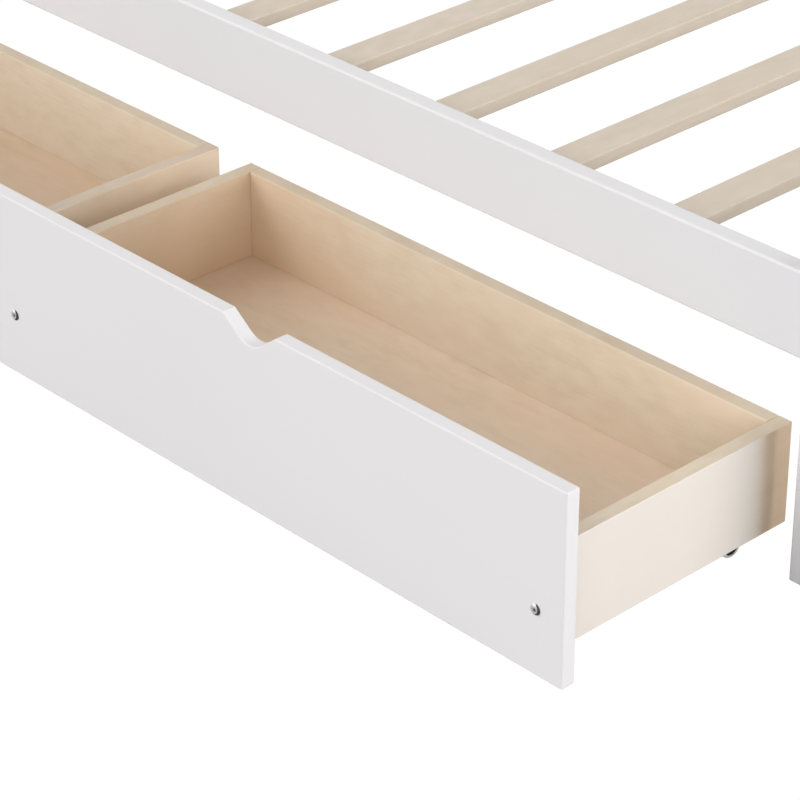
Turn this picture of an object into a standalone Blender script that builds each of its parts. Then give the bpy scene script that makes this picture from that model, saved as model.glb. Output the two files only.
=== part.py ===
"""Single bed frame in white painted pine, with two storage drawers on castors under its front side.

The frame is four posts joined by two side rails, a foot rail and a headboard. Eleven slats lie on
ledgers screwed inside the side rails. Each drawer is a front panel with a finger notch, bolted to
the ends of two side boards, with a back board between them and a bottom board let into grooves.
It rolls on four fixed castors, each a steel fork with its axle and a loose wheel. A long bolt at
each corner, sunk in the post's outer face, pulls a side rail against its post.

Metres, +Z up. +X runs along the bed towards its foot, and the drawers open towards -Y. The origin
is on the floor, at the middle of the whole object with its drawers pulled out.
"""

import math
from collections import namedtuple

import bmesh
import bpy
from mathutils import Matrix, Vector

# --- Driving dimensions, in metres -----------------------------------------------------------
GAP = 0.0003  # left between pieces that touch

# Frame
CLEAR_LENGTH = 1.9236  # between the inner faces of the head and foot posts
INNER_WIDTH = 1.006  # between the side rails, for a mattress 0.99 wide
POST = 0.050  # square section of a post
POST_EDGE = 0.0025
HEAD_POST_HEIGHT = 0.900
FOOT_POST_HEIGHT = 0.405
RAIL_THICK = 0.0235
RAIL_HEIGHT = 0.1013
RAIL_BOTTOM = 0.276
RAIL_EDGE = 0.0025
BOARD_THICK = 0.018  # boards of the headboard
HEAD_BOARD_HEIGHT = 0.095
HEAD_BOARD_SPACE = 0.040
HEAD_BOARD_COUNT = 3
HEAD_CAP_HEIGHT = 0.070
HEAD_CAP_THICK = 0.032
LEDGER_WIDTH = 0.022
LEDGER_HEIGHT = 0.034

# Slats
SLAT_COUNT = 11
SLAT_PITCH = 0.1883
SLAT_WIDTH = 0.0471
SLAT_THICK = 0.0165
SLAT_TOP = 0.3619
SLAT_END_PLAY = 0.003  # between a slat's end and the side rail
SLAT_EDGE = 0.0015

# Drawers
DRAWER_PULL = 0.353  # how far each drawer stands open, from the rail's face to the panel's face
PANEL_LENGTH = 0.955
PANEL_HEIGHT = 0.238
PANEL_THICK = 0.0187
PANEL_BOTTOM = 0.021
PANEL_SPACE = 0.002  # between the two panels
PANEL_EDGE = 0.0015
NOTCH_SHIFT = -0.0045  # from the panel's middle
NOTCH_WIDTH = 0.0866
NOTCH_DEPTH = 0.0256
NOTCH_SLOPE = math.radians(37)  # of its flanks
NOTCH_ARC_STEPS = 12
WALL = 0.019
BOX_INSET = 0.0303  # from a panel's end to the box's side
BOX_DEPTH = 0.3675  # behind the panel
BOX_BOTTOM = 0.0454
BOX_HEIGHT = 0.1283
BOX_EDGE = 0.001
BASE_THICK = 0.005
BASE_RISE = 0.0049  # from the walls' lower edge to the bottom board
GROOVE = 0.006  # depth of the grooves that hold the bottom board

# Bolts. A drawer's go through its panel into the side boards' ends, the bed's through a post into
# a rail's end.
Bolt = namedtuple("Bolt", "head_radius head_rise radius length socket_radius socket_depth")
PANEL_BOLT = Bolt(0.0068, 0.0028, 0.003, PANEL_THICK + 0.040, 0.0025, 0.0018)
PANEL_BOLT_HEIGHT = 0.1023
BED_BOLT = Bolt(0.0085, 0.0050, 0.004, 0.098, 0.0035, 0.0030)
BED_BOLT_SINK = 0.006  # of the bed bolt's head, in a counterbore
BED_BOLT_SINK_PLAY = 0.001
BED_BOLT_RISE = 0.020  # from a rail's lower edge, so that its cross nut lies below the ledger
BOLT_PLAY = 0.0003  # around a shank, and past its tip

# Castors
CASTOR_SIDE = 0.0435  # from the box's side to a wheel's middle
CASTOR_END = 0.0439  # from the box's back, or the panel, to an axle
WHEEL_RADIUS = 0.015
WHEEL_WIDTH = 0.014
WHEEL_ROUND = 0.002
WHEEL_BORE = 0.0024
AXLE_RADIUS = 0.002
PLATE_LENGTH = 0.040
PLATE_WIDTH = 0.030
STEEL = 0.0015
FORK_PLAY = 0.0008  # between the wheel and each cheek
CHEEK_RADIUS = 0.006
CHEEK_TOP_LENGTH = 0.024
CHEEK_SHOULDER = 0.003  # how far a cheek keeps that length below the plate's middle
RIVET_RISE = 0.0009  # of the axle's ends past the cheeks

# --- Places worked out from them -------------------------------------------------------------
OUTER_WIDTH = INNER_WIDTH + 2 * RAIL_THICK
BACK_Y = (OUTER_WIDTH + DRAWER_PULL + PANEL_BOLT.head_rise) / 2
RAIL_FACE_Y = BACK_Y - OUTER_WIDTH  # front face of the front rail and posts
PANEL_FACE_Y = RAIL_FACE_Y - DRAWER_PULL
MID_Y = (RAIL_FACE_Y + BACK_Y) / 2
SIDES = (("front", RAIL_FACE_Y, 1), ("back", BACK_Y, -1))  # name, outer face, way inwards
POST_X = (CLEAR_LENGTH + POST) / 2
RAIL_Z = RAIL_BOTTOM + RAIL_HEIGHT / 2
BED_BOLT_Z = RAIL_BOTTOM + BED_BOLT_RISE
SLAT_BOTTOM = SLAT_TOP - SLAT_THICK

WHITE_PAINT = ("white_paint", (0.76, 0.75, 0.755), 0.45, 0.0)
NATURAL_PINE = ("natural_pine", (0.69, 0.53, 0.37), 0.60, 0.0)
CHROMED_STEEL = ("chromed_steel", (0.62, 0.62, 0.64), 0.22, 1.0)
ZINC_STEEL = ("zinc_steel", (0.55, 0.56, 0.58), 0.35, 1.0)
BLACK_STEEL = ("black_steel", (0.025, 0.025, 0.027), 0.40, 0.3)
GREY_RUBBER = ("grey_rubber", (0.40, 0.40, 0.41), 0.60, 0.0)

# How finely round shapes are made
DOME_STEPS = 3
CHEEK_ARC_STEPS = 6
BOLT_SIDES = 16
HOLE_SIDES = 24
ROD_SIDES = 16
WHEEL_SIDES = 32
HEXAGON = 6
SHARP_ANGLE = math.radians(40)

# Directions
ALONG = Vector((1, 0, 0))
ACROSS = Vector((0, 1, 0))


# --- Small tools -----------------------------------------------------------------------------
def new_collection(name):
    """A collection linked to the scene."""
    collection = bpy.data.collections.new(name)
    bpy.context.scene.collection.children.link(collection)
    return collection


def finish_material(spec, node):
    """A node's own Principled material, from a name, a colour, a roughness and a metallic value."""
    name, colour, roughness, metallic = spec
    material = bpy.data.materials.new(f"{node}_{name}")
    material.use_nodes = True
    shader = material.node_tree.nodes["Principled BSDF"]
    shader.inputs["Base Color"].default_value = (*colour, 1.0)
    shader.inputs["Roughness"].default_value = roughness
    shader.inputs["Metallic"].default_value = metallic
    return material


def mesh_object(name, shape, collection, centre, finish=None):
    """An object made from a bmesh, placed at centre."""
    mesh = bpy.data.meshes.new(name)
    shape.to_mesh(mesh)
    shape.free()
    piece = bpy.data.objects.new(name, mesh)
    piece.location = centre
    collection.objects.link(piece)
    if finish:
        mesh.materials.append(finish_material(finish, name))
    return piece


def box_shape(size):
    """A box about the origin."""
    shape = bmesh.new()
    bmesh.ops.create_cube(shape, size=1.0, matrix=Matrix.Diagonal((*size, 1.0)))
    return shape


def rod_shape(radius, length, axis, sides):
    """A capped rod about the origin, along a world axis."""
    shape = bmesh.new()
    aim = Vector((0, 0, 1)).rotation_difference(axis).to_matrix().to_4x4()
    bmesh.ops.create_cone(
        shape, cap_ends=True, segments=sides, radius1=radius, radius2=radius, depth=length, matrix=aim
    )
    return shape


def ease_edges(piece, width, segments=2):
    """Rounds a piece's sharp edges."""
    bevel = piece.modifiers.new("eased_edges", "BEVEL")
    bevel.width = width
    bevel.segments = segments
    bevel.limit_method = "ANGLE"
    bevel.angle_limit = SHARP_ANGLE


def boolean(piece, other, operation):
    """Joins another shape to a piece or cuts it away."""
    step = piece.modifiers.new(operation.lower(), "BOOLEAN")
    step.operation = operation
    step.solver = "EXACT"
    step.object = other


def shade_round(piece):
    """Smooth shading with sharp edges kept."""
    piece.data.shade_smooth()
    piece.data.set_sharp_from_angle(angle=SHARP_ANGLE)


def turn(piece, axis, sides):
    """Turns a piece's profile into a round body."""
    turned = piece.modifiers.new("turned", "SCREW")
    turned.axis = axis
    turned.steps = turned.render_steps = sides
    turned.use_merge_vertices = True
    turned.merge_threshold = 0.00001
    turned.use_normal_calculate = True


def board(name, size, centre, finish, edge):
    """A board with eased edges."""
    piece = mesh_object(name, box_shape(size), parts, centre, finish)
    ease_edges(piece, edge)
    return piece


def helper(name, shape, centre):
    """A hidden shape that a Boolean reads."""
    piece = mesh_object(name, shape, cutters, centre)
    piece.hide_render = True
    piece.display_type = "WIRE"
    return piece


def span(low, high):
    """Size and middle of a stretch."""
    return high - low, (low + high) / 2


# --- Frame -----------------------------------------------------------------------------------
def build_posts():
    """The four corner posts, tall at the head and low at the foot, and the bolts sunk in them."""
    for end, x, height in (("head", -POST_X, HEAD_POST_HEIGHT), ("foot", POST_X, FOOT_POST_HEIGHT)):
        outwards = math.copysign(1, x)
        for side, face_y, inwards in SIDES:
            y = face_y + inwards * POST / 2
            post = board(
                f"{end}_post_{side}", (POST, POST, height), (x, y, height / 2), WHITE_PAINT, POST_EDGE
            )
            outer = Vector((x + outwards * POST / 2, face_y + inwards * RAIL_THICK / 2, BED_BOLT_Z))
            seat = outer - outwards * BED_BOLT_SINK * ALONG
            bolt_hole(post, seat, ALONG, BED_BOLT, 2 * POST)
            sink_radius = BED_BOLT.head_radius + BED_BOLT_SINK_PLAY
            sink = rod_shape(sink_radius, 2 * BED_BOLT_SINK, ALONG, HOLE_SIDES)
            boolean(post, helper(f"{post.name}_sink", sink, outer), "DIFFERENCE")
            build_bolt(f"bed_bolt_{end}_{side}", seat, -outwards * ALONG, BED_BOLT, ZINC_STEEL)


def build_side_rails():
    """The two side rails and the ledgers inside them that carry the slats."""
    length = CLEAR_LENGTH - 2 * GAP
    ledger_z = SLAT_BOTTOM - GAP - LEDGER_HEIGHT / 2
    ledger_inset = RAIL_THICK + GAP + LEDGER_WIDTH / 2
    bolt_in_rail = BED_BOLT.length + BED_BOLT_SINK - POST
    for side, face_y, inwards in SIDES:
        rail_y = face_y + inwards * RAIL_THICK / 2
        rail = board(
            f"side_rail_{side}",
            (length, RAIL_THICK, RAIL_HEIGHT),
            (0, rail_y, RAIL_Z),
            WHITE_PAINT,
            RAIL_EDGE,
        )
        for end_x in (-length / 2, length / 2):
            bolt_hole(rail, Vector((end_x, rail_y, BED_BOLT_Z)), ALONG, BED_BOLT, 2 * bolt_in_rail)
        board(
            f"slat_ledger_{side}",
            (length, LEDGER_WIDTH, LEDGER_HEIGHT),
            (0, face_y + inwards * ledger_inset, ledger_z),
            NATURAL_PINE,
            SLAT_EDGE,
        )


def slat_x(index):
    """Where a slat lies: at the pitch, but the two end slats stand against the posts."""
    from_middle = index - (SLAT_COUNT - 1) / 2
    furthest = (CLEAR_LENGTH - SLAT_WIDTH) / 2 - GAP
    return max(-furthest, min(furthest, from_middle * SLAT_PITCH))


def build_slats():
    """The slats, numbered from the head."""
    length = INNER_WIDTH - 2 * SLAT_END_PLAY
    for index in range(SLAT_COUNT):
        board(
            f"slat_{index + 1:02d}",
            (SLAT_WIDTH, length, SLAT_THICK),
            (slat_x(index), MID_Y, SLAT_TOP - SLAT_THICK / 2),
            NATURAL_PINE,
            SLAT_EDGE,
        )


def build_ends():
    """The rails across the head and foot, and the headboard's boards and cap."""
    across = OUTER_WIDTH - 2 * POST - 2 * GAP
    for end, x in (("head", -POST_X), ("foot", POST_X)):
        board(
            f"{end}_rail",
            (RAIL_THICK, across, RAIL_HEIGHT),
            (x, MID_Y, RAIL_Z),
            WHITE_PAINT,
            RAIL_EDGE,
        )
    cap_z = HEAD_POST_HEIGHT - HEAD_BOARD_SPACE / 2 - HEAD_CAP_HEIGHT / 2
    board(
        "headboard_cap",
        (HEAD_CAP_THICK, across, HEAD_CAP_HEIGHT),
        (-POST_X, MID_Y, cap_z),
        WHITE_PAINT,
        RAIL_EDGE,
    )
    top = cap_z - HEAD_CAP_HEIGHT / 2
    for index in range(HEAD_BOARD_COUNT):
        top_of_board = top - HEAD_BOARD_SPACE - index * (HEAD_BOARD_HEIGHT + HEAD_BOARD_SPACE)
        board(
            f"headboard_board_{index + 1}",
            (BOARD_THICK, across, HEAD_BOARD_HEIGHT),
            (-POST_X, MID_Y, top_of_board - HEAD_BOARD_HEIGHT / 2),
            WHITE_PAINT,
            RAIL_EDGE,
        )


# --- Drawers ---------------------------------------------------------------------------------
def notch_outline():
    """The finger notch, from one upper corner to the other: straight flanks and a round bottom."""
    half = NOTCH_WIDTH / 2
    slope = math.tan(NOTCH_SLOPE)
    drop_of_round = 1 - math.cos(NOTCH_SLOPE)
    radius = (half * slope - NOTCH_DEPTH) / (slope * math.sin(NOTCH_SLOPE) - drop_of_round)
    points = [(-half, 0.0)]
    for step in range(NOTCH_ARC_STEPS + 1):
        angle = NOTCH_SLOPE * (2 * step / NOTCH_ARC_STEPS - 1)
        points.append((radius * math.sin(angle), radius * (1 - math.cos(angle)) - NOTCH_DEPTH))
    points.append((half, 0.0))
    return points


def notch_shape():
    """A cutter for the notch, open above the panel's top edge."""
    over = NOTCH_DEPTH
    flare = over / math.tan(NOTCH_SLOPE)
    outline = [(-NOTCH_WIDTH / 2 - flare, over), *notch_outline(), (NOTCH_WIDTH / 2 + flare, over)]
    shape = bmesh.new()
    ring = [shape.verts.new((x, -PANEL_THICK, z)) for x, z in outline]
    face = shape.faces.new(ring)
    swept = bmesh.ops.extrude_face_region(shape, geom=[face])
    moved = [item for item in swept["geom"] if isinstance(item, bmesh.types.BMVert)]
    bmesh.ops.translate(shape, verts=moved, vec=(0, 2 * PANEL_THICK, 0))
    bmesh.ops.recalc_face_normals(shape, faces=shape.faces)
    return shape


def groove_cutter(name, low, high):
    """A box that cuts a groove, between two corners."""
    size, centre = zip(*(span(a, b) for a, b in zip(low, high)))
    return helper(name, box_shape(size), centre)


def bolt_hole(piece, place, axis, bolt, length):
    """A round hole for a bolt's shank, with its middle at a place."""
    hole = rod_shape(bolt.radius + BOLT_PLAY, length, axis, HOLE_SIDES)
    boolean(piece, helper(f"{piece.name}_hole", hole, place), "DIFFERENCE")


def bolt_profile(bolt):
    """Half of a bolt's outline, from the middle of its domed head down to its tip, as (radius, z)."""
    edge = bolt.head_rise / 5
    points = []
    for step in range(DOME_STEPS + 1):
        angle = math.pi / 2 * step / DOME_STEPS
        rise = edge + (bolt.head_rise - edge) * math.cos(angle)
        points.append((bolt.head_radius * math.sin(angle), rise))
    tip = BOLT_PLAY - bolt.length
    points += [
        (bolt.head_radius, GAP),
        (bolt.radius, GAP),
        (bolt.radius, tip + bolt.radius),
        (bolt.radius / 2, tip),
        (0.0, tip),
    ]
    return points


def build_bolt(name, place, into, bolt, metal):
    """A domed bolt with a hexagon socket, turned about its own line. Its head rests at a place."""
    shape = bmesh.new()
    verts = [shape.verts.new((radius, 0, z)) for radius, z in bolt_profile(bolt)]
    for first, second in zip(verts, verts[1:]):
        shape.edges.new((first, second))
    piece = mesh_object(name, shape, parts, place, metal)
    piece.rotation_euler = (-into).to_track_quat("Z", "Y").to_euler()
    turn(piece, "Z", BOLT_SIDES)
    socket = helper(
        f"{name}_socket",
        rod_shape(bolt.socket_radius, 2 * bolt.socket_depth, into, HEXAGON),
        place - into * bolt.head_rise,
    )
    boolean(piece, socket, "DIFFERENCE")
    shade_round(piece)


def build_panel(name, x, base_low, base_high):
    """A drawer's front panel: finger notch, two bolt holes, and the bottom board's groove."""
    centre = (x, PANEL_FACE_Y + PANEL_THICK / 2, PANEL_BOTTOM + PANEL_HEIGHT / 2)
    shape = box_shape((PANEL_LENGTH, PANEL_THICK, PANEL_HEIGHT))
    panel = mesh_object(f"{name}_front_panel", shape, parts, centre, WHITE_PAINT)
    notch_place = (x + NOTCH_SHIFT, centre[1], PANEL_BOTTOM + PANEL_HEIGHT)
    notch = helper(f"{name}_notch", notch_shape(), notch_place)
    boolean(panel, notch, "DIFFERENCE")
    ease_edges(panel, PANEL_EDGE)
    for _, bolt_x in bolt_places(x):
        place = Vector((bolt_x, centre[1], PANEL_BOLT_HEIGHT))
        bolt_hole(panel, place, ACROSS, PANEL_BOLT, 2 * PANEL_THICK)
    back_y = PANEL_FACE_Y + PANEL_THICK
    boolean(
        panel,
        groove_cutter(
            f"{name}_panel_groove",
            (base_low[0] - GAP, back_y - GROOVE, base_low[2] - GAP),
            (base_high[0] + GAP, back_y + GROOVE, base_high[2] + GAP),
        ),
        "DIFFERENCE",
    )
    return panel


def bolt_places(x):
    """The middle of each side board's end, in X."""
    reach = PANEL_LENGTH / 2 - BOX_INSET - WALL / 2
    return (("left", x - reach), ("right", x + reach))


def build_box(name, x):
    """The box behind a panel: two sides, a back between them, and a bottom board in grooves."""
    front_y = PANEL_FACE_Y + PANEL_THICK + GAP
    back_y = PANEL_FACE_Y + PANEL_THICK + BOX_DEPTH
    half = PANEL_LENGTH / 2 - BOX_INSET
    wall_z = BOX_BOTTOM + BOX_HEIGHT / 2
    base_z = BOX_BOTTOM + BASE_RISE
    bite = GROOVE - GAP
    base_low = (x - half + WALL - bite, front_y - GAP - bite, base_z)
    base_high = (x + half - WALL + bite, back_y - WALL + bite, base_z + BASE_THICK)
    depth, depth_y = span(front_y, back_y)
    for (side, bolt_x), outwards in zip(bolt_places(x), (-1, 1)):
        wall = mesh_object(
            f"{name}_side_{side}",
            box_shape((WALL, depth, BOX_HEIGHT)),
            parts,
            (x + outwards * (half - WALL / 2), depth_y, wall_z),
            NATURAL_PINE,
        )
        ease_edges(wall, BOX_EDGE)
        face_x = x + outwards * (half - WALL)
        boolean(
            wall,
            groove_cutter(
                f"{name}_groove_{side}",
                (face_x - GROOVE, front_y - GROOVE, base_z - GAP),
                (face_x + GROOVE, base_high[1] + GAP, base_high[2] + GAP),
            ),
            "DIFFERENCE",
        )
        hole_end = Vector((bolt_x, front_y, PANEL_BOLT_HEIGHT))
        bolt_hole(wall, hole_end, ACROSS, PANEL_BOLT, 2 * (PANEL_BOLT.length - PANEL_THICK))
        seat = Vector((bolt_x, PANEL_FACE_Y, PANEL_BOLT_HEIGHT))
        build_bolt(f"{name}_bolt_{side}", seat, ACROSS, PANEL_BOLT, CHROMED_STEEL)
    back = board(
        f"{name}_back",
        (2 * (half - WALL - GAP), WALL, BOX_HEIGHT),
        (x, back_y - WALL / 2, wall_z),
        NATURAL_PINE,
        BOX_EDGE,
    )
    boolean(
        back,
        groove_cutter(
            f"{name}_groove_back",
            (x - half, back_y - WALL - GROOVE, base_z - GAP),
            (x + half, back_y - WALL + GROOVE, base_high[2] + GAP),
        ),
        "DIFFERENCE",
    )
    size, centre = zip(*(span(a, b) for a, b in zip(base_low, base_high)))
    mesh_object(f"{name}_bottom", box_shape(size), parts, centre, NATURAL_PINE)
    build_panel(name, x, base_low, base_high)


def build_castor(name, x, y, plate_top):
    """A fixed castor: a steel fork with its plate and riveted axle, and a wheel that turns on it."""
    axle = bpy.data.objects.new(f"{name}_axle", None)
    axle.location = (x, y, WHEEL_RADIUS)
    parts.objects.link(axle)

    cheek_x = WHEEL_WIDTH / 2 + FORK_PLAY + STEEL / 2
    cheek_top = plate_top - STEEL / 2 - WHEEL_RADIUS
    plate = box_shape((PLATE_WIDTH, PLATE_LENGTH, STEEL))
    bmesh.ops.translate(plate, verts=plate.verts, vec=(0, 0, cheek_top))
    fork = mesh_object(f"{name}_fork", plate, parts, (0, 0, 0), BLACK_STEEL)
    fork.parent = axle
    for side, outwards in (("left", -1), ("right", 1)):
        cheek = helper(f"{name}_cheek_{side}", cheek_shape(cheek_top), (outwards * cheek_x, 0, 0))
        cheek.parent = axle
        boolean(fork, cheek, "UNION")
    rod_length = 2 * (cheek_x + STEEL / 2 + RIVET_RISE)
    rod = helper(f"{name}_rod", rod_shape(AXLE_RADIUS, rod_length, ALONG, ROD_SIDES), (0, 0, 0))
    rod.parent = axle
    boolean(fork, rod, "UNION")

    wheel = mesh_object(f"{name}_wheel", wheel_shape(), parts, (0, 0, 0), GREY_RUBBER)
    wheel.parent = axle
    turn(wheel, "X", WHEEL_SIDES)
    shade_round(wheel)


def cheek_shape(top):
    """One cheek of a fork: wide at the plate, round at the axle."""
    half = CHEEK_TOP_LENGTH / 2
    outline = [(-half, top), (-half, top - CHEEK_SHOULDER)]
    for step in range(CHEEK_ARC_STEPS + 1):
        angle = math.pi * (1 + step / CHEEK_ARC_STEPS)
        outline.append((CHEEK_RADIUS * math.cos(angle), CHEEK_RADIUS * math.sin(angle)))
    outline += [(half, top - CHEEK_SHOULDER), (half, top)]
    shape = bmesh.new()
    face = shape.faces.new([shape.verts.new((-STEEL / 2, y, z)) for y, z in outline])
    swept = bmesh.ops.extrude_face_region(shape, geom=[face])
    moved = [item for item in swept["geom"] if isinstance(item, bmesh.types.BMVert)]
    bmesh.ops.translate(shape, verts=moved, vec=(STEEL, 0, 0))
    bmesh.ops.recalc_face_normals(shape, faces=shape.faces)
    return shape


def wheel_shape():
    """The closed section of a wheel, to be turned about X."""
    half = WHEEL_WIDTH / 2
    right = [
        (half, WHEEL_BORE),
        (half, WHEEL_RADIUS - WHEEL_ROUND),
        (half - WHEEL_ROUND, WHEEL_RADIUS),
    ]
    section = right + [(-x, radius) for x, radius in reversed(right)]
    shape = bmesh.new()
    verts = [shape.verts.new((x, 0, radius)) for x, radius in section]
    for first, second in zip(verts, verts[1:] + verts[:1]):
        shape.edges.new((first, second))
    return shape


def build_castors(name, x):
    """The four castors under a drawer's bottom board."""
    half = PANEL_LENGTH / 2 - BOX_INSET
    plate_top = BOX_BOTTOM + BASE_RISE - GAP
    panel_back = PANEL_FACE_Y + PANEL_THICK
    for end, y in (("front", panel_back + CASTOR_END), ("back", panel_back + BOX_DEPTH - CASTOR_END)):
        for side, outwards in (("left", -1), ("right", 1)):
            build_castor(f"{name}_castor_{end}_{side}", x + outwards * (half - CASTOR_SIDE), y, plate_top)


def build_drawers():
    """The two drawers, side by side."""
    for side, outwards in (("left", -1), ("right", 1)):
        x = outwards * (PANEL_LENGTH + PANEL_SPACE) / 2
        build_box(f"drawer_{side}", x)
        build_castors(f"drawer_{side}", x)


for leftover in list(bpy.data.objects):
    bpy.data.objects.remove(leftover, do_unlink=True)
parts = new_collection("wooden_bed_frame")
cutters = new_collection("cutters")
build_posts()
build_side_rails()
build_slats()
build_ends()
build_drawers()
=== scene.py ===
"""Looks of the white single bed frame with two storage drawers on castors.

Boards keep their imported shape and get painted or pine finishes. Bolts, castor forks and wheels are
rebuilt in finer detail, and screws, axles, hubs and barrel nuts are added. Metres, +Z up, +X
towards the bed's foot, and the drawers open to -Y.
"""

import logging
import math
from dataclasses import dataclass
from enum import Enum
from typing import Any, Sequence

import bmesh
import bpy
from mathutils import Matrix, Vector


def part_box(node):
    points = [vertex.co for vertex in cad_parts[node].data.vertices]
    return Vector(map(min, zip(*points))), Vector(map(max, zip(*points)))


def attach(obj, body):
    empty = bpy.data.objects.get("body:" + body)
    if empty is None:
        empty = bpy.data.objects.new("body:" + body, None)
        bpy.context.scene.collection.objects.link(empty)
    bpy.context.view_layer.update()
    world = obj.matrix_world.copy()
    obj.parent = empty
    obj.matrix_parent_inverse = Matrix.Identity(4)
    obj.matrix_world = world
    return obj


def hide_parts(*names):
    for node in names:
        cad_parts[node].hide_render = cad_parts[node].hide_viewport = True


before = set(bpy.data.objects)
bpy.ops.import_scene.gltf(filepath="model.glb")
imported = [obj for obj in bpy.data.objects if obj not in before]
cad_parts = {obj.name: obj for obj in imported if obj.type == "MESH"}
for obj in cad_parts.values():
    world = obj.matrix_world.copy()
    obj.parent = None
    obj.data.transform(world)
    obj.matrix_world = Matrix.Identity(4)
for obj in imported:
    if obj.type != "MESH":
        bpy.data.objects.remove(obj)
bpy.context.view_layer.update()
log = logging.getLogger("bed")

Colour = Point = tuple[float, float, float]
BLACK: Colour = (0.0, 0.0, 0.0)
EAST = Vector((1, 0, 0))  # towards the bed's foot
UP = Vector((0, 0, 1))


# --- Named options ---
class Axis(Enum):
    """A direction that a board's grain runs in, or that a round piece is turned about."""

    X = 0
    Y = 1
    Z = 2

    @property
    def across(self) -> tuple[int, int]:
        """The two other directions."""
        return tuple(index for index in range(3) if index != self.value)

    @property
    def vector(self) -> Vector:
        """This direction at length one."""
        return Vector([1.0 if index == self.value else 0.0 for index in range(3)])


class Slot(Enum):
    """The record's material slots."""

    WHITE_PAINT = "white_paint"
    NATURAL_PINE = "natural_pine"
    CHROMED_STEEL = "chromed_steel"
    ZINC_STEEL = "zinc_steel"
    BLACK_STEEL = "black_steel"
    GREY_RUBBER = "grey_rubber"


class Drive(Enum):
    """The recess in a screw's head, as a number of lobes and how sharp they are."""

    HEXAGON = (6, 0.0)
    CROSS = (4, 0.55)

    def reach(self, angle: float) -> float:
        """How far the recess reaches at an angle, as a share of its radius.

        Args:
            angle: Around the head, in radians.

        Returns:
            A number above 0 and at most 1.
        """
        lobes, sharpness = self.value
        half = math.pi / lobes
        flat = math.cos(half) / math.cos((angle % (2 * half)) - half)
        lobe = abs(math.cos(angle * lobes / 2)) ** 4
        return (1 - sharpness) * flat + sharpness * lobe if sharpness else flat


# --- Shader maths ---
class Value:
    """A socket that gives a number, so that finishes can be written as expressions."""

    def __init__(self, graph: "Graph", socket: bpy.types.NodeSocket) -> None:
        """Keeps an output and the graph that gets the Math nodes."""
        self.graph = graph
        self.socket = socket

    def __add__(self, other: "Number") -> "Value":
        """This number plus another."""
        return self.graph.math("ADD", self, other)

    __radd__ = __add__

    def __sub__(self, other: "Number") -> "Value":
        """This number less another."""
        return self.graph.math("SUBTRACT", self, other)

    def __rsub__(self, other: "Number") -> "Value":
        """Another number less this one."""
        return self.graph.math("SUBTRACT", other, self)

    def __mul__(self, other: "Number") -> "Value":
        """This number times another."""
        return self.graph.math("MULTIPLY", self, other)

    __rmul__ = __mul__

    def __truediv__(self, other: "Number") -> "Value":
        """This number over another."""
        return self.graph.math("DIVIDE", self, other)

    def size(self) -> "Value":
        """This number without its sign."""
        return self.graph.math("ABSOLUTE", self)

    def part(self) -> "Value":
        """What follows the decimal point."""
        return self.graph.math("FRACT", self)

    def smallest(self, other: "Number") -> "Value":
        """The smaller of two numbers."""
        return self.graph.math("MINIMUM", self, other)

    def largest(self, other: "Number") -> "Value":
        """The larger of two numbers."""
        return self.graph.math("MAXIMUM", self, other)

    def between(self, low: float, high: float) -> "Value":
        """A soft step.

        Args:
            low: Where the step starts, at 0.
            high: Where it ends, at 1. It may be below low.

        Returns:
            A number from 0 to 1.
        """
        settings = {"interpolation_type": "SMOOTHSTEP"}
        sockets = {"Value": self, "From Min": low, "From Max": high}
        return Value(self.graph, self.graph.node("MapRange", settings, sockets).outputs["Result"])


Number = Value | float
Place = tuple[Value, Value, Value]


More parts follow.
